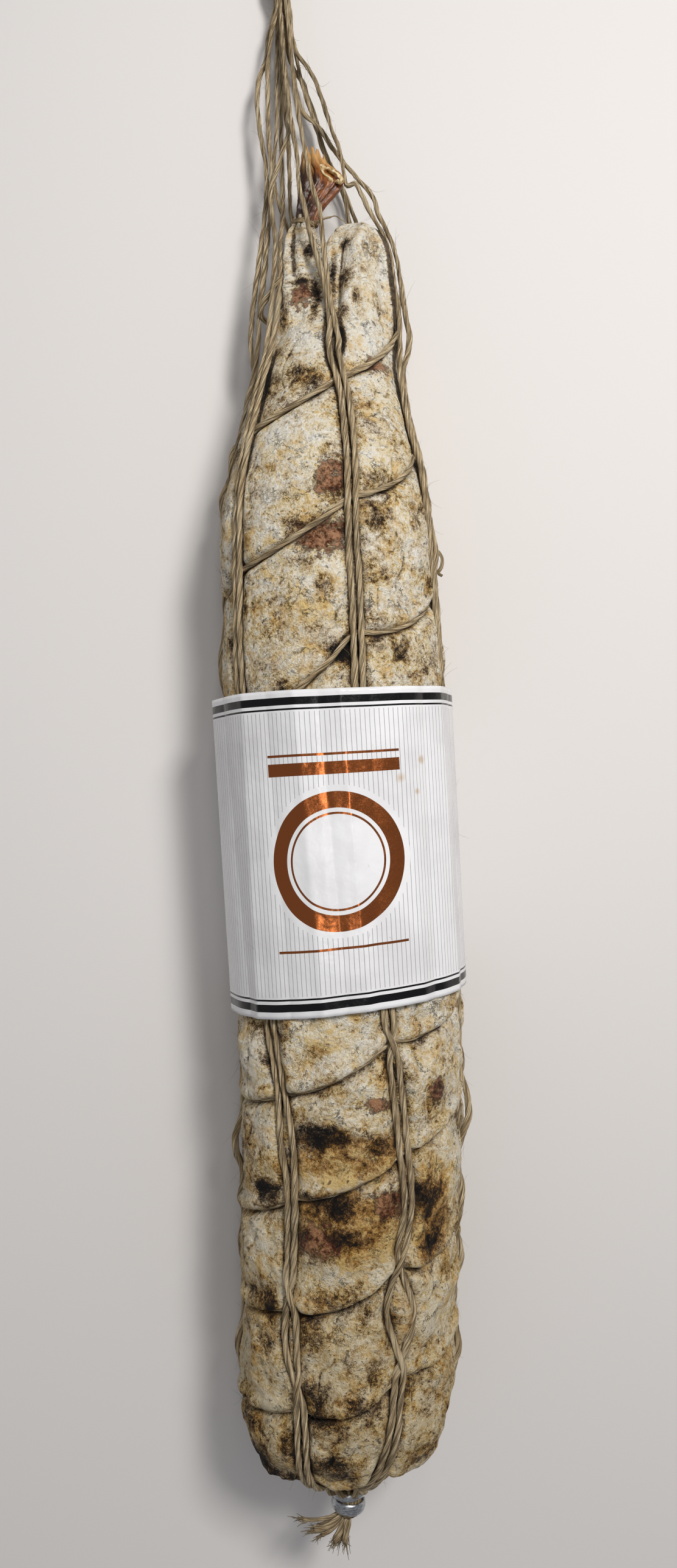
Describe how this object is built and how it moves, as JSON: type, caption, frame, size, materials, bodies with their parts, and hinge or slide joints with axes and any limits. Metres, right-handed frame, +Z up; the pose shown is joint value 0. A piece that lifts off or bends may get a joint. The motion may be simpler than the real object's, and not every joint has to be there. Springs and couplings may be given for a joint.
{
  "type": "cured sausage",
  "caption": "Long cured salami in natural casing, held in a twine net with a paper band, clipped at the blunt end, tied at the thin end, with a knot and hanging loop; lies on a flat surface.",
  "frame": {"origin": "bottom centre of the sausage with its net and paper band, without the limp hanging loop, on the surface it lies on", "axes": "+Y along the sausage from the clipped blunt end to the hanging end, +Z up, +X to the right when looking down with +Y up the page"},
  "size_m": [0.088, 0.6268, 0.0786],
  "materials": {
    "moulded_casing": "dry natural casing under powdery white and ochre mould, dark speckles, bare red-brown patches",
    "dry_casing": "dried translucent casing, satin, crumpled",
    "pale_string": "cotton string, matt",
    "hemp_twine": "plied hemp twine, matt, dusty with mould",
    "band_paper": "white coated paper with black edge stripes and thin grey pinstripes, semi-gloss",
    "clip_aluminium": "bright drawn wire, slightly scratched"
  },
  "bodies": {
    "root": {"salami": "moulded_casing", "casing_tail": "dry_casing", "neck_tie": "pale_string", "long_twine_1a": "hemp_twine", "long_twine_1b": "hemp_twine", "long_twine_2a": "hemp_twine", "long_twine_2b": "hemp_twine", "long_twine_3a": "hemp_twine", "long_twine_3b": "hemp_twine", "long_twine_4a": "hemp_twine", "long_twine_4b": "hemp_twine", "long_twine_5a": "hemp_twine", "long_twine_5b": "hemp_twine", "long_twine_6a": "hemp_twine", "long_twine_6b": "hemp_twine", "cross_twine_1": "hemp_twine", "cross_twine_2": "hemp_twine", "paper_band": "band_paper", "clip_upper": "clip_aluminium", "clip_lower": "clip_aluminium", "twine_ends": "hemp_twine", "top_knot": "hemp_twine", "hanging_loop": "hemp_twine"}
  },
  "joints": []
}
